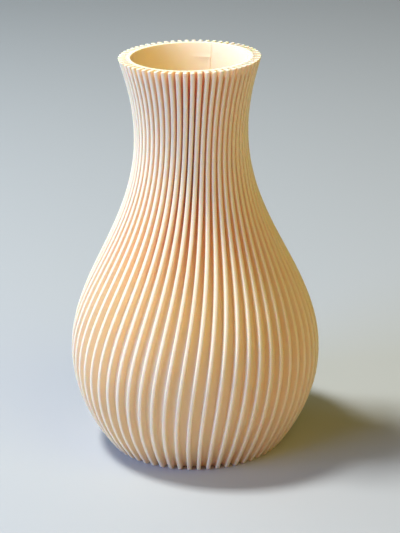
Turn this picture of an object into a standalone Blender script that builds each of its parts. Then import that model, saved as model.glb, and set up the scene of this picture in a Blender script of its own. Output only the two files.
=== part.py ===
"""Ribbed, twisted vase, printed in one piece.

A pear-shaped wall on a flat floor carries sixty thin upright ribs, which lean round the vase as they
rise.  The ribs, the wall, the floor and the rim are one continuous body.  Metres, +Z up; the origin is
the middle of the foot, and the first rib starts on -Y.
"""

import math

import bmesh
import bpy
from mathutils import Vector
from mathutils.geometry import interpolate_bezier

# Outline of the rib crests
HEIGHT = 0.200
FOOT_RADIUS = 0.0455
BELLY_RADIUS = 0.0633
BELLY_HEIGHT = 0.0485
NECK_RADIUS = 0.0281
NECK_BELOW_RIM = 0.0382
RIM_RADIUS = 0.0347
FOOT_FLARE = math.radians(34.3)  # lean of the outline off upright, where it leaves the foot
RIM_FLARE = math.radians(14.3)  # lean off upright where it reaches the rim

# How far each end of a stretch of outline runs on straight, as a share of the stretch's height
FOOT_PULL = 0.164
UNDER_BELLY_PULL = 0.500
OVER_BELLY_PULL = 0.346
UNDER_NECK_PULL = 0.412
OVER_NECK_PULL = 0.480
RIM_PULL = 0.197

# Wall and floor
WALL = 0.0020  # from the groove floors to the inner face, measured level
FLOOR = 0.0030

# Ribs
RIB_COUNT = 60
RIB_DEPTH = 0.0040
RIB_THICKNESS = 0.0021  # at the root
CREST_WIDTH = 0.0012
LEAST_GROOVE = 0.0003  # groove floor left where the ribs crowd together
TWIST = math.radians(25.5)  # turn from foot to rim, towards +X at the front
STEADY_SHARE = 0.15  # share of the twist that is even; the rest eases in and out

# Fineness: rings of points in each stretch of the outline
FOOT_RINGS = 4
BODY_RINGS = 6
MOUTH_RINGS = 4

CREAM = (0.87, 0.66, 0.38, 1.0)


def clear_scene():
    for thing in list(bpy.data.objects):
        bpy.data.objects.remove(thing)


def stretch(start, start_pull, end_pull, end, rings):
    """Points (radius, height) along one smooth stretch of outline, without its last point."""
    rise = end.z - start.z
    knots = (start, start + start_pull * rise, end - end_pull * rise, end)
    return interpolate_bezier(*knots, rings + 1)[:-1]


def crest_outline():
    """The outline of the rib crests from the foot to the rim: vectors with x the radius, z the height."""
    foot = Vector((FOOT_RADIUS, 0, 0))
    belly = Vector((BELLY_RADIUS, 0, BELLY_HEIGHT))
    neck = Vector((NECK_RADIUS, 0, HEIGHT - NECK_BELOW_RIM))
    rim = Vector((RIM_RADIUS, 0, HEIGHT))
    upright = Vector((0, 0, 1))
    foot_lean = Vector((math.sin(FOOT_FLARE), 0, math.cos(FOOT_FLARE)))
    rim_lean = Vector((math.sin(RIM_FLARE), 0, math.cos(RIM_FLARE)))
    outline = stretch(foot, FOOT_PULL * foot_lean, UNDER_BELLY_PULL * upright, belly, FOOT_RINGS)
    outline += stretch(belly, OVER_BELLY_PULL * upright, UNDER_NECK_PULL * upright, neck, BODY_RINGS)
    outline += stretch(neck, OVER_NECK_PULL * upright, RIM_PULL * rim_lean, rim, MOUTH_RINGS)
    return outline + [rim]


def twist_at(height):
    """How far the ribs have turned at this height."""
    share = height / HEIGHT
    eased = share * share * (3 - 2 * share)
    return TWIST * (eased + STEADY_SHARE * (share - eased))


def around(radius, angle, height):
    """A point at this angle from -Y, turning towards +X."""
    return Vector((radius * math.sin(angle), -radius * math.cos(angle), height))


def rib_section(radius):
    """One rib across, as (radius, angle) from its left root over the crest to its right root."""
    root = radius - RIB_DEPTH
    pitch = math.tau / RIB_COUNT
    root_half = min(RIB_THICKNESS / 2 / root, (pitch - LEAST_GROOVE / root) / 2)
    crest_half = CREST_WIDTH / 2 / radius
    return ((root, -root_half), (radius, -crest_half), (radius, crest_half), (root, root_half))


def outer_ring(mesh, radius, height):
    """The ribs' points at one height, one list for each rib."""
    turn = twist_at(height)
    section = rib_section(radius)
    ribs = []
    for index in range(RIB_COUNT):
        middle = turn + math.tau * index / RIB_COUNT
        ribs.append([mesh.verts.new(around(r, middle + angle, height)) for r, angle in section])
    return ribs


def inner_ring(mesh, radius, height):
    """The inner face's points at one height, one behind each rib."""
    turn = twist_at(height)
    inside = radius - RIB_DEPTH - WALL
    angles = [turn + math.tau * index / RIB_COUNT for index in range(RIB_COUNT)]
    return [mesh.verts.new(around(inside, angle, height)) for angle in angles]


def skin(mesh, lower, upper):
    """Quads between two closed rings of as many points, facing outwards."""
    for index in range(len(lower)):
        after = (index + 1) % len(lower)
        mesh.faces.new((lower[index], lower[after], upper[after], upper[index]))


def cap_rim(mesh, ribs, inside):
    """The flat top: a piece for each rib, and one for each groove."""
    for index, rib in enumerate(ribs):
        after = (index + 1) % RIB_COUNT
        mesh.faces.new([inside[index]] + rib)
        mesh.faces.new((inside[index], rib[-1], ribs[after][0], inside[after]))


def radius_at(outline, height):
    """The outline's radius at a height, read between its points."""
    for low, high in zip(outline, outline[1:]):
        if low.z <= height <= high.z:
            return low.x + (high.x - low.x) * (height - low.z) / (high.z - low.z)
    return outline[-1].x


def vase_mesh():
    mesh = bmesh.new()
    outline = crest_outline()

    outer = [outer_ring(mesh, point.x, point.z) for point in outline]
    closed = [[vert for rib in ribs for vert in rib] for ribs in outer]
    for lower, upper in zip(closed, closed[1:]):
        skin(mesh, lower, upper)
    mesh.faces.new(closed[0])

    floor_edge = Vector((radius_at(outline, FLOOR), 0, FLOOR))
    above = [point for point in outline if point.z > FLOOR + WALL / 2]
    inner = [inner_ring(mesh, point.x, point.z) for point in [floor_edge] + above]
    for lower, upper in zip(inner, inner[1:]):
        skin(mesh, lower, upper)
    mesh.faces.new(inner[0])
    cap_rim(mesh, outer[-1], inner[-1])

    bmesh.ops.recalc_face_normals(mesh, faces=mesh.faces)
    return mesh


def printed_plastic():
    material = bpy.data.materials.new("printed_plastic")
    material.use_nodes = True
    shader = material.node_tree.nodes["Principled BSDF"]
    shader.inputs["Base Color"].default_value = CREAM
    shader.inputs["Roughness"].default_value = 0.5
    shader.inputs["Metallic"].default_value = 0.0
    return material


def build_vase():
    mesh = vase_mesh()
    data = bpy.data.meshes.new("vase_body")
    mesh.to_mesh(data)
    mesh.free()
    data.materials.append(printed_plastic())
    data.shade_smooth()
    data.set_sharp_from_angle(angle=math.radians(30))
    vase = bpy.data.objects.new("vase_body", data)
    bpy.context.scene.collection.objects.link(vase)


clear_scene()
build_vase()
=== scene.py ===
"""Looks of a ribbed, gently twisted vase printed in cream plastic.

The vase is one piece that stands for the frame's solid. Sixty ribs with flat, round-cornered crests and
filleted roots run from the foot to the rim, the rim and the foot have softened edges, and the seam that the
printer leaves runs down the smooth inside. Its plastic is cream, shows the printed layers, and lets some
light through, which warms the narrow grooves most. These grooves are also painted a rosy shade, lighter near
the rim. The seam and the valleys between the layers carry painted shade, and the rim's top is painted a
lighter cream for the light that falls on it.
"""

import math
import random

import bpy
from mathutils import Matrix, Vector
from mathutils.geometry import interpolate_bezier


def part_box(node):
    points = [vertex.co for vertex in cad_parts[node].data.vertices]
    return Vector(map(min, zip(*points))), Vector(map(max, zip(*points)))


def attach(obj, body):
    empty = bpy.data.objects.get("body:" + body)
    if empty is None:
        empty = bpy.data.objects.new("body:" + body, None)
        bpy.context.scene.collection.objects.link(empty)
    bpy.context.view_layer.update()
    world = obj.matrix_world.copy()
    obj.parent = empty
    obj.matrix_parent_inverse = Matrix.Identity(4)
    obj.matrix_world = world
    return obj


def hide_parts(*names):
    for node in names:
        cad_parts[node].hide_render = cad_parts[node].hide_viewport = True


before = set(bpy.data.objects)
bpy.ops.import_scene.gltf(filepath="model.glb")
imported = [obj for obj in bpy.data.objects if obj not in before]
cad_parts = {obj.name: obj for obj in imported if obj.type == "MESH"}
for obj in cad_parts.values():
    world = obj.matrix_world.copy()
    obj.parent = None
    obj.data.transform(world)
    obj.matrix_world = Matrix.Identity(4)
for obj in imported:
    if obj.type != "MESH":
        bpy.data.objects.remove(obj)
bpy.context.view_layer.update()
body_low, body_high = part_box("vase_body")

MM = 0.001
HEIGHT = body_high.z - body_low.z
BELLY_RADIUS = (body_high.x - body_low.x) / 2

# The outline of the crests: radii and heights as shares of the vase's height, and the flare of its ends.
FOOT_RADIUS = 0.2275 * HEIGHT
BELLY_HEIGHT = 0.2425 * HEIGHT
NECK_RADIUS = 0.1405 * HEIGHT
NECK_HEIGHT = 0.809 * HEIGHT
RIM_RADIUS = 0.1735 * HEIGHT
FOOT_FLARE = math.radians(34.3)
RIM_FLARE = math.radians(14.3)

# How far the curve is pulled straight on at each end of a stretch, as a share of the stretch's height.
FOOT_PULL = 0.164
UNDER_BELLY_PULL = 0.500
OVER_BELLY_PULL = 0.346
UNDER_NECK_PULL = 0.412
OVER_NECK_PULL = 0.480
RIM_PULL = 0.197

# The ribs and the wall behind them.
RIB_COUNT = 60
RIB_DEPTH = 4.0 * MM
RIB_THICKNESS = 2.1 * MM
CREST_ROUNDING = 0.7 * MM
ROOT_FILLET = 0.5 * MM
WALL = 2.0 * MM

# The floor inside, and the softened edges of the rim and the foot.
FLOOR = 3.0 * MM
FLOOR_FILLET = 3.0 * MM
EDGE_ROUNDING = 0.3 * MM

# How far the ribs turn from foot to rim, and the share of that which is even over the height.
TWIST = math.radians(25.5)
STEADY_SHARE = 0.15

# The seam that the printer leaves down the inside. Its height wobbles between two shares of the full one,
# and it takes a share of a narrow groove's painted shade.
SEAM_ANGLE = math.radians(156.5)
SEAM_REACH = math.radians(0.75)
SEAM_HEIGHT = 0.50 * MM
SEAM_WOBBLE = (0.5, 1.0)
SEAM_SEED = 7
SEAM_SHADE = 0.45

# The level mark that runs from the seam along one layer.
MARK_DROP = 6.8 * MM
MARK_REACH = math.radians(23)
MARK_HEIGHT = 0.12 * MM

# The height of a printed layer, and the width of a line laid in a flat face.
LAYER = 0.2 * MM
LINE = 0.42 * MM

# How finely the mesh is cut.
CREST_STEPS = 3
FILLET_STEPS = 2
EDGE_STEPS = 3
FOOT_LEVELS = 16
BODY_LEVELS = 34
MOUTH_LEVELS = 16
INNER_STRIDE = 3

# A face whose normal stands this upright lies flat, and an edge sharper than this angle stays sharp.
FLAT = 0.98
SHARP_ANGLE = math.radians(50)

# The vase's material slots for the flat faces. Slot 0 holds the material of its walls.
RIM_SLOT = 1
FLOOR_SLOT = 2

# How far into a narrow groove each point lies, which sets how much painted rosy shade it gets. A groove this
# much wider than the narrowest counts as open. Light that comes in at the rim glows down the grooves, so the
# painted shade starts there at this share of itself.
GROOVE_SHADE = "groove_shade"
OPEN_GROOVE = 2.5 * MM
RIM_SHADE = 0.15
RIM_GLOW = 8.0 * MM

# How big the uneven patches in the plastic are.
FLOW_GRAIN = 6.0 * MM
FLOW_SQUASH = 12.0
CLOUD_GRAIN = 22.0 * MM
FINE_GRAIN = 0.12 * MM

# From least to most, what each pattern adds to the share of the deeper cream.
CLOUD_TONE = (-0.15, 0.65)
BEAD_TONE = (0.0, 0.22)
FLOW_TONE = (-0.1, 0.25)

# The share of painted shade in the valleys, from between two beads to a bead's top.
VALLEY_PAINTED_SHADE_TONE = (0.25, 0.0)

# How high the beads stand, and what the other patterns add to that, as shares of it.
BEAD_HEIGHT = 0.02 * MM
BEAD_LIFT = (0.0, 0.5)
FLOW_LIFT = (0.0, 0.5)
GRAIN_LIFT = (0.0, 0.2)

# The surface's roughness, from where the plastic flowed least to where it flowed most.
ROUGHNESS = (0.36, 0.62)
PLASTIC_IOR = 1.46
PLASTIC_SPECULAR = 0.38

# How much light goes under the surface and how far it is carried there, from the open to a narrow groove,
# and how far red, green and blue go as shares of that.
SCATTER_WEIGHT = (0.35, 1.0)
SCATTER_REACH = (1.7 * MM, 4.5 * MM)
SCATTER_COLOURS = (1.0, 0.45, 0.2)

# The plastic's colours.
CREAM = (0.93, 0.72, 0.44, 1.0)
DEEP_CREAM = (0.92, 0.67, 0.38, 1.0)
# Painted shade in the valleys between the printed beads.
VALLEY_PAINTED_SHADE_CREAM = (0.90, 0.60, 0.31, 1.0)
# Painted rosy shade deep in the narrow grooves.
GROOVE_PAINTED_SHADE_ROSE = (0.96, 0.47, 0.25, 1.0)
# The rim's top is painted a lighter cream, a painted highlight for the light that falls on it.
RIM_PAINTED_LIGHT_CREAM = (0.99, 0.94, 0.76, 1.0)


# ---- The outline ----

def stretch(start, start_pull, end_pull, end, steps):
    """Radius and height along one curved stretch, without its last point."""
    points = interpolate_bezier(
        Vector((start[0], start[1], 0)),
        Vector((start_pull[0], start_pull[1], 0)),
        Vector((end_pull[0], end_pull[1], 0)),
        Vector((end[0], end[1], 0)),
        steps + 1,
    )
    return [(point.x, point.y) for point in points[:-1]]


def crest_outline():
    """Radius and height of the rib crests, from the foot up to the rim."""
    foot = (FOOT_RADIUS, 0.0)
    belly = (BELLY_RADIUS, BELLY_HEIGHT)
    neck = (NECK_RADIUS, NECK_HEIGHT)
    rim = (RIM_RADIUS, HEIGHT)
    foot_pull = FOOT_PULL * BELLY_HEIGHT
    body = NECK_HEIGHT - BELLY_HEIGHT
    mouth = HEIGHT - NECK_HEIGHT
    rim_pull = RIM_PULL * mouth
    leaving_foot = (
        FOOT_RADIUS + foot_pull * math.sin(FOOT_FLARE),
        foot_pull * math.cos(FOOT_FLARE),
    )
    under_belly = (BELLY_RADIUS, BELLY_HEIGHT * (1 - UNDER_BELLY_PULL))
    over_belly = (BELLY_RADIUS, BELLY_HEIGHT + OVER_BELLY_PULL * body)
    under_neck = (NECK_RADIUS, NECK_HEIGHT - UNDER_NECK_PULL * body)
    over_neck = (NECK_RADIUS, NECK_HEIGHT + OVER_NECK_PULL * mouth)
    reaching_rim = (
        RIM_RADIUS - rim_pull * math.sin(RIM_FLARE),
        HEIGHT - rim_pull * math.cos(RIM_FLARE),
    )
    return [
        *stretch(foot, leaving_foot, under_belly, belly, FOOT_LEVELS),
        *stretch(belly, over_belly, under_neck, neck, BODY_LEVELS),
        *stretch(neck, over_neck, reaching_rim, rim, MOUTH_LEVELS),
        rim,
    ]


def twist_at(height):
    """How far the ribs have turned at this height. Most of the turn eases in and out at the two ends."""
    share = height / HEIGHT
    eased = share * share * (3 - 2 * share)
    return TWIST * (eased + STEADY_SHARE * (share - eased))


# ---- The rings that the mesh is skinned from ----

def around(radius, angle, height):
    """A point at this angle from -Y towards +X."""
    return (radius * math.sin(angle), -radius * math.cos(angle), body_low.z + height)


def half_rib(inset):
    """Sideways offset and drop, from a rib's flat crest down its right side to the groove floor."""
    half = RIB_THICKNESS / 2 - inset
    rounding = CREST_ROUNDING - inset
    fillet = ROOT_FILLET + inset
    points = []
    for step in range(CREST_STEPS + 1):
        turn = math.pi / 2 * step / CREST_STEPS
        points.append((half - rounding * (1 - math.sin(turn)), rounding * (1 - math.cos(turn))))
    for step in range(FILLET_STEPS + 1):
        turn = math.pi / 2 * step / FILLET_STEPS
        points.append((
            half + fillet * (1 - math.cos(turn)),
            RIB_DEPTH - fillet * (1 - math.sin(turn)),
        ))
    return points


def rib_section(crest_radius, inset):
    """Radius and angle of one rib and the groove to its right, about the rib's middle."""
    right = []
    for aside, drop in half_rib(inset):
        reach = crest_radius - inset - drop
        right.append((math.hypot(reach, aside), math.atan2(aside, reach)))
    left = [(radius, -angle) for radius, angle in reversed(right)]
    groove = (crest_radius - inset - RIB_DEPTH, math.pi / RIB_COUNT)
    return [*left, *right, groove]


def rib_ring(crest_radius, height, inset=0.0):
    """Every rib at this height, pulled in by inset all the way round."""
    section = rib_section(crest_radius, inset)
    return [
        around(radius, twist_at(height) + math.tau * rib / RIB_COUNT + angle, height)
        for rib in range(RIB_COUNT)
        for radius, angle in section
    ]


def ring_angles():
    """The angles of the points of the ring at the rim, which the inside keeps all the way down."""
    section = rib_section(RIM_RADIUS, 0.0)
    return [
        twist_at(HEIGHT) + math.tau * rib / RIB_COUNT + angle
        for rib in range(RIB_COUNT)
        for _, angle in section
    ]


def seam_share(angle):
    """How much of the seam stands at this angle, from 0 beside it to 1 on it."""
    away = abs((angle - SEAM_ANGLE + math.pi) % math.tau - math.pi)
    return max(0.0, 1 - away / SEAM_REACH)


def mark_share(angle):
    """How much of the level mark stands at this angle: all of it at the seam, then less and less."""
    along = (angle - SEAM_ANGLE) % math.tau
    return max(0.0, 1 - along / MARK_REACH)


def round_ring(radius, height, wobble=0.0, mark=0.0):
    """A plain ring on the inside, with the seam's ridge and the level mark as high as wobble and mark say."""
    return [
        around(
            radius - max(SEAM_HEIGHT * wobble * seam_share(angle), MARK_HEIGHT * mark * mark_share(angle)),
            angle,
            height,
        )
        for angle in ring_angles()
    ]


def rounded_edge(steps):
    """Inset and distance below the face, from the side of a softened edge onto its face."""
    turns = [math.pi / 2 * step / steps for step in range(steps + 1)]
    return [
        (EDGE_ROUNDING * (1 - math.cos(turn)), EDGE_ROUNDING * (1 - math.sin(turn)))
        for turn in turns
    ]


def outline_radius(outline, height):
    """The crests' radius at this height."""
    for (low_radius, low), (high_radius, high) in zip(outline, outline[1:]):
        if low <= height <= high:
            share = (height - low) / (high - low)
            return low_radius + share * (high_radius - low_radius)
    return outline[-1][0]


def outer_rings(outline):
    """From the underside up the ribs and onto the rim's top face."""
    edge = rounded_edge(EDGE_STEPS)
    between = [
        (radius, height)
        for radius, height in outline
        if EDGE_ROUNDING * 2 < height < HEIGHT - EDGE_ROUNDING * 2
    ]
    rings = [rib_ring(FOOT_RADIUS, 0.0, 2 * EDGE_ROUNDING)]
    for inset, above in reversed(edge):
        rings.append(rib_ring(outline_radius(outline, above), above, inset))
    rings.extend(rib_ring(radius, height) for radius, height in between)
    for inset, below in edge:
        rings.append(rib_ring(outline_radius(outline, HEIGHT - below), HEIGHT - below, inset))
    rings.append(rib_ring(RIM_RADIUS, HEIGHT, 2 * EDGE_ROUNDING))
    return rings


def inner_rings(outline):
    """From the rim's top face down the inside and across the floor."""
    rng = random.Random(SEAM_SEED)
    mouth = RIM_RADIUS - RIB_DEPTH - WALL
    rings = [round_ring(mouth + 2 * EDGE_ROUNDING, HEIGHT)]
    for inset, below in reversed(rounded_edge(EDGE_STEPS)):
        height = HEIGHT - below
        rings.append(round_ring(outline_radius(outline, height) - RIB_DEPTH - WALL + inset, height))
    marked = HEIGHT - MARK_DROP
    levels = [(radius, height, 0.0) for radius, height in outline[:-1:INNER_STRIDE]]
    for height, mark in ((marked - LAYER, 0.0), (marked, 1.0), (marked + LAYER, 0.0)):
        levels.append((outline_radius(outline, height), height, mark))
    for radius, height, mark in sorted(levels, key=lambda level: -level[1]):
        if height > FLOOR + FLOOR_FILLET:
            wobble = rng.uniform(*SEAM_WOBBLE)
            rings.append(round_ring(radius - RIB_DEPTH - WALL, height, wobble, mark))
    low = FLOOR + FLOOR_FILLET
    corner = outline_radius(outline, low) - RIB_DEPTH - WALL
    for step in range(EDGE_STEPS + 1):
        turn = math.pi / 2 * step / EDGE_STEPS
        rings.append(round_ring(
            corner - FLOOR_FILLET * (1 - math.cos(turn)),
            low - FLOOR_FILLET * math.sin(turn),
        ))
    rings.append(round_ring(corner / 2, FLOOR))
    return rings


# ---- The mesh ----

def groove_gap(crest_radius):
    """How wide a groove's floor is between two ribs."""
    return math.tau * (crest_radius - RIB_DEPTH) / RIB_COUNT - RIB_THICKNESS


def groove_shades(ring):
    """The painted shade of each point of a rib ring, from 0 on a crest or in an open groove to 1 deep in the
    narrowest.
    """
    crest_radius = max(math.hypot(x, y) for x, y, _ in ring)
    wider = groove_gap(crest_radius) - groove_gap(NECK_RADIUS)
    below_rim = HEIGHT - (ring[0][2] - body_low.z)
    shaded = min(1.0, RIM_SHADE + below_rim / RIM_GLOW)
    narrow = shaded * min(1.0, max(0.0, 1 - wider / OPEN_GROOVE))
    right = [narrow * drop / RIB_DEPTH for _, drop in half_rib(0.0)]
    return [*reversed(right), *right, narrow] * RIB_COUNT


def skin(rings):
    """Vertices and faces over a run of rings, closed at both ends by a point on the axis."""
    count = len(rings[0])
    vertices = [point for ring in rings for point in ring]
    faces = []
    for level in range(len(rings) - 1):
        low = level * count
        high = low + count
        for here in range(count):
            after = (here + 1) % count
            faces.append((low + here, low + after, high + after, high + here))
    for ring, turned in ((0, True), (len(rings) - 1, False)):
        middle = len(vertices)
        vertices.append((0.0, 0.0, rings[ring][0][2]))
        for here in range(count):
            corners = (ring * count + here, ring * count + (here + 1) % count, middle)
            faces.append(corners[::-1] if turned else corners)
    return vertices, faces


def build_vase():
    """The vase as one closed mesh."""
    outline = crest_outline()
    outside = outer_rings(outline)
    inside = inner_rings(outline)
    vertices, faces = skin(outside + inside)
    mesh = bpy.data.meshes.new("vase")
    mesh.from_pydata(vertices, [], faces)
    mesh.update()
    flat = [0.0] * len(outside[0])
    # Painted shade: deep in the narrow grooves outside, and a share of it along the seam inside.
    shades = [*flat, *(shade for ring in outside[1:-1] for shade in groove_shades(ring)), *flat]
    for _ in inside:
        shades.extend(SEAM_SHADE * seam_share(angle) for angle in ring_angles())
    shades.extend([0.0] * (len(vertices) - len(shades)))
    mesh.attributes.new(GROOVE_SHADE, "FLOAT", "POINT").data.foreach_set("value", shades)
    mesh.shade_smooth()
    mesh.set_sharp_from_angle(angle=SHARP_ANGLE)
    mesh.materials.append(cream_plastic("wall_layers", up, LAYER))
    # The rim's top gets a lighter cream, which is painted light.
    mesh.materials.append(cream_plastic("rim_loops", outwards, LINE, RIM_PAINTED_LIGHT_CREAM))
    mesh.materials.append(cream_plastic("floor_lines", slanting, LINE))
    for face in mesh.polygons:
        if abs(face.normal.z) > FLAT:
            face.material_index = RIM_SLOT if face.center.z > HEIGHT / 2 else FLOOR_SLOT
    vase = bpy.data.objects.new("vase", mesh)
    bpy.context.scene.collection.objects.link(vase)
    return vase


# ---- Materials ----

def plain_material(name, colour, roughness=0.5):
    """A material of one colour and roughness, for the patterns below to be laid over."""
    material = bpy.data.materials.new(name)
    material.use_nodes = True
    shader = material.node_tree.nodes["Principled BSDF"]
    shader.inputs["Base Color"].default_value = colour
    shader.inputs["Roughness"].default_value = roughness
    return material


def place(tree):
    """Sockets for the place on the object: the whole vector, then x, y and z, in metres."""
    coordinates = tree.nodes.new("ShaderNodeTexCoord").outputs["Object"]
    split = tree.nodes.new("ShaderNodeSeparateXYZ")
    tree.links.new(coordinates, split.inputs[0])
    return coordinates, split.outputs["X"], split.outputs["Y"], split.outputs["Z"]


def calculate(tree, operation, first, second=0.0):
    """A maths node's result. Each of its inputs is a socket or a number."""
    node = tree.nodes.new("ShaderNodeMath")
    node.operation = operation
    for socket, value in zip(node.inputs, (first, second)):
        if isinstance(value, (int, float)):
            socket.default_value = value
        else:
            tree.links.new(value, socket)
    return node.outputs[0]


def noise(tree, coordinates, grain, squash=1.0):
    """Noise with blots about as big as grain, flattened in height by squash."""
    mapping = tree.nodes.new("ShaderNodeMapping")
    mapping.inputs["Scale"].default_value = (1 / grain, 1 / grain, squash / grain)
    tree.links.new(coordinates, mapping.inputs["Vector"])
    texture = tree.nodes.new("ShaderNodeTexNoise")
    texture.inputs["Scale"].default_value = 1.0
    tree.links.new(mapping.outputs["Vector"], texture.inputs["Vector"])
    return texture.outputs["Fac"]


def spread(tree, value, ends):
    """The value, from 0 to 1, carried over to the range between these two ends."""
    node = tree.nodes.new("ShaderNodeMapRange")
    node.inputs["To Min"].default_value = ends[0]
    node.inputs["To Max"].default_value = ends[1]
    tree.links.new(value, node.inputs["Value"])
    return node.outputs["Result"]


def blend(tree, share, first, second):
    """A colour between two others. Each of them is a socket or a colour."""
    node = tree.nodes.new("ShaderNodeMix")
    node.data_type = "RGBA"
    tree.links.new(share, node.inputs["Factor"])
    for name, value in (("A", first), ("B", second)):
        socket = next(s for s in node.inputs if s.name == name and s.type == "RGBA")
        if isinstance(value, tuple):
            socket.default_value = value
        else:
            tree.links.new(value, socket)
    return next(s for s in node.outputs if s.type == "RGBA")


def bead(tree, across, pitch):
    """Round beads side by side with a sharp valley between each two, from 0 to 1."""
    return calculate(
        tree, "ABSOLUTE", calculate(tree, "SINE", calculate(tree, "MULTIPLY", across, math.pi / pitch))
    )


def chance(tree, across, pitch):
    """A chance value from 0 to 1, the same along each bead."""
    number = calculate(tree, "FLOOR", calculate(tree, "DIVIDE", across, pitch))
    texture = tree.nodes.new("ShaderNodeTexWhiteNoise")
    texture.noise_dimensions = "1D"
    tree.links.new(number, texture.inputs["W"])
    return texture.outputs["Value"]


def cream_plastic(name, measure, pitch, lightest=CREAM):
    """Cream plastic laid in beads of this pitch, across the direction that measure gives, with painted shade.

    Lightest is its colour where nothing deepens it.
    """
    material = plain_material(name, lightest)
    tree = material.node_tree
    shader = tree.nodes["Principled BSDF"]
    coordinates, x, y, z = place(tree)
    across = measure(tree, x, y, z)
    beads = bead(tree, across, pitch)
    each = chance(tree, across, pitch)
    flow = noise(tree, coordinates, FLOW_GRAIN, FLOW_SQUASH)
    cloud = noise(tree, coordinates, CLOUD_GRAIN)
    grain = noise(tree, coordinates, FINE_GRAIN)

    tone = calculate(tree, "ADD", spread(tree, cloud, CLOUD_TONE), spread(tree, each, BEAD_TONE))
    tone = calculate(tree, "ADD", tone, spread(tree, flow, FLOW_TONE))
    colour = blend(tree, tone, lightest, DEEP_CREAM)
    # Painted shade in the valleys between beads.
    colour = blend(tree, spread(tree, beads, VALLEY_PAINTED_SHADE_TONE), colour, VALLEY_PAINTED_SHADE_CREAM)
    # Painted rosy shade deep in the narrow grooves.
    attribute = tree.nodes.new("ShaderNodeAttribute")
    attribute.attribute_name = GROOVE_SHADE
    shade = attribute.outputs["Fac"]
    colour = blend(tree, shade, colour, GROOVE_PAINTED_SHADE_ROSE)
    tree.links.new(colour, shader.inputs["Base Color"])

    tree.links.new(spread(tree, flow, ROUGHNESS), shader.inputs["Roughness"])
    shader.inputs["IOR"].default_value = PLASTIC_IOR
    shader.inputs["Specular IOR Level"].default_value = PLASTIC_SPECULAR

    lift = calculate(tree, "ADD", beads, spread(tree, each, BEAD_LIFT))
    lift = calculate(tree, "ADD", lift, spread(tree, flow, FLOW_LIFT))
    lift = calculate(tree, "ADD", lift, spread(tree, grain, GRAIN_LIFT))
    bump = tree.nodes.new("ShaderNodeBump")
    bump.inputs["Strength"].default_value = 1.0
    bump.inputs["Distance"].default_value = BEAD_HEIGHT
    tree.links.new(lift, bump.inputs["Height"])
    tree.links.new(bump.outputs["Normal"], shader.inputs["Normal"])

    tree.links.new(spread(tree, shade, SCATTER_WEIGHT), shader.inputs["Subsurface Weight"])
    tree.links.new(spread(tree, shade, SCATTER_REACH), shader.inputs["Subsurface Scale"])
    shader.inputs["Subsurface Radius"].default_value = SCATTER_COLOURS
    return material


def up(tree, x, y, z):
    """Across the layers of a wall."""
    return z


def outwards(tree, x, y, z):
    """Across the loops of the rim."""
    return calculate(
        tree,
        "SQRT",
        calculate(tree, "ADD", calculate(tree, "MULTIPLY", x, x), calculate(tree, "MULTIPLY", y, y)),
    )


def slanting(tree, x, y, z):
    """Across the lines that fill the floor."""
    return calculate(tree, "MULTIPLY", calculate(tree, "ADD", x, y), math.sqrt(0.5))


# ---- The studio ----

# The floor that the vase stands on.
STAGE_REACH = 4.0
STAGE_ROUGHNESS = 0.6
PALE_GREY = (0.43, 0.40, 0.37, 1.0)

# The camera stands in front of the vase, a little round to one side, and looks down at it.
CAMERA_DISTANCE = 4.0317 * HEIGHT
CAMERA_HEIGHT = 1.9741 * HEIGHT
CAMERA_ROUND = math.radians(-0.72)
CAMERA_YAW = math.radians(-0.225)
CAMERA_PITCH = math.radians(20.622)
CAMERA_ROLL = math.radians(-1.056)
CAMERA_LENS = 115.28
SENSOR = 36.0

# Each light's name, azimuth and elevation in degrees, width in metres, watts and colour. Azimuth 0 is the
# camera's side and 90 is its right. The left is lit cool, and the right and the front are lit warm.
LIGHT_DISTANCE = 1.6
LIGHTS = (
    ("key", -101, 67, 0.28, 39, (0.81, 0.92, 1.0)),
    ("window", -60, 20, 1.0, 28, (0.27, 0.46, 1.0)),
    ("low_window", -50, 5, 0.7, 9, (0.14, 0.36, 1.0)),
    ("behind_left", -120, 20, 1.0, 8, (0.40, 0.76, 1.0)),
    ("warm_fill", 50, 50, 1.0, 7.8, (1.0, 0.94, 0.24)),
    ("front_fill", 0, 25, 1.0, 3.4, (1.0, 0.58, 0.44)),
)
STUDIO_COLOUR = (1.0, 0.96, 0.90, 1.0)
STUDIO_STRENGTH = 0.03


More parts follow.
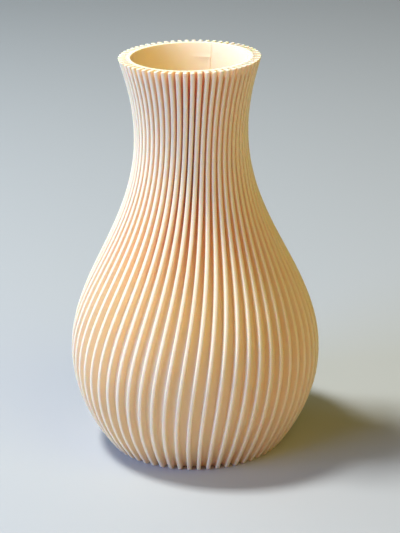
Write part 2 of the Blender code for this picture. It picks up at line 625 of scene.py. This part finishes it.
def build_floor():
    """A plain pale floor that reaches past the camera's view."""
    corners = [
        (-STAGE_REACH, -STAGE_REACH, body_low.z),
        (STAGE_REACH, -STAGE_REACH, body_low.z),
        (STAGE_REACH, STAGE_REACH, body_low.z),
        (-STAGE_REACH, STAGE_REACH, body_low.z),
    ]
    mesh = bpy.data.meshes.new("floor")
    mesh.from_pydata(corners, [], [(0, 1, 2, 3)])
    mesh.materials.append(plain_material("floor_paper", PALE_GREY, STAGE_ROUGHNESS))
    floor = bpy.data.objects.new("floor", mesh)
    bpy.context.scene.collection.objects.link(floor)
    return floor


def build_camera():
    """The camera, aimed as the photograph's was."""
    data = bpy.data.cameras.new("camera")
    data.lens = CAMERA_LENS
    data.sensor_width = SENSOR
    camera = bpy.data.objects.new("camera", data)
    bpy.context.scene.collection.objects.link(camera)
    aim = (
        Matrix.Rotation(CAMERA_YAW, 4, "Z")
        @ Matrix.Rotation(math.pi / 2 - CAMERA_PITCH, 4, "X")
        @ Matrix.Rotation(CAMERA_ROLL, 4, "Z")
    )
    stand = Matrix.Translation((0, -CAMERA_DISTANCE, CAMERA_HEIGHT))
    camera.matrix_world = Matrix.Rotation(CAMERA_ROUND, 4, "Z") @ stand @ aim
    bpy.context.scene.camera = camera


def soft_light(name, azimuth, elevation, size, power, colour):
    """A square soft light aimed at the vase's middle."""
    data = bpy.data.lights.new(name, "AREA")
    data.size = size
    data.energy = power
    data.color = colour
    light = bpy.data.objects.new(name, data)
    bpy.context.scene.collection.objects.link(light)
    turned = math.radians(azimuth)
    raised = math.radians(elevation)
    toward = Vector((
        math.sin(turned) * math.cos(raised),
        -math.cos(turned) * math.cos(raised),
        math.sin(raised),
    ))
    middle = Vector((0, 0, HEIGHT / 2))
    light.location = middle + LIGHT_DISTANCE * toward
    light.rotation_euler = (-toward).to_track_quat("-Z", "Y").to_euler()


def build_lights():
    """The soft lights and the faint light from all round."""
    for light in LIGHTS:
        soft_light(*light)
    world = bpy.data.worlds.new("studio")
    world.use_nodes = True
    bpy.context.scene.world = world
    background = world.node_tree.nodes["Background"]
    background.inputs["Color"].default_value = STUDIO_COLOUR
    background.inputs["Strength"].default_value = STUDIO_STRENGTH


vase = build_vase()
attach(vase, "root")
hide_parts("vase_body")
build_floor()
build_camera()
build_lights()
bpy.context.scene.view_settings.view_transform = "Standard"
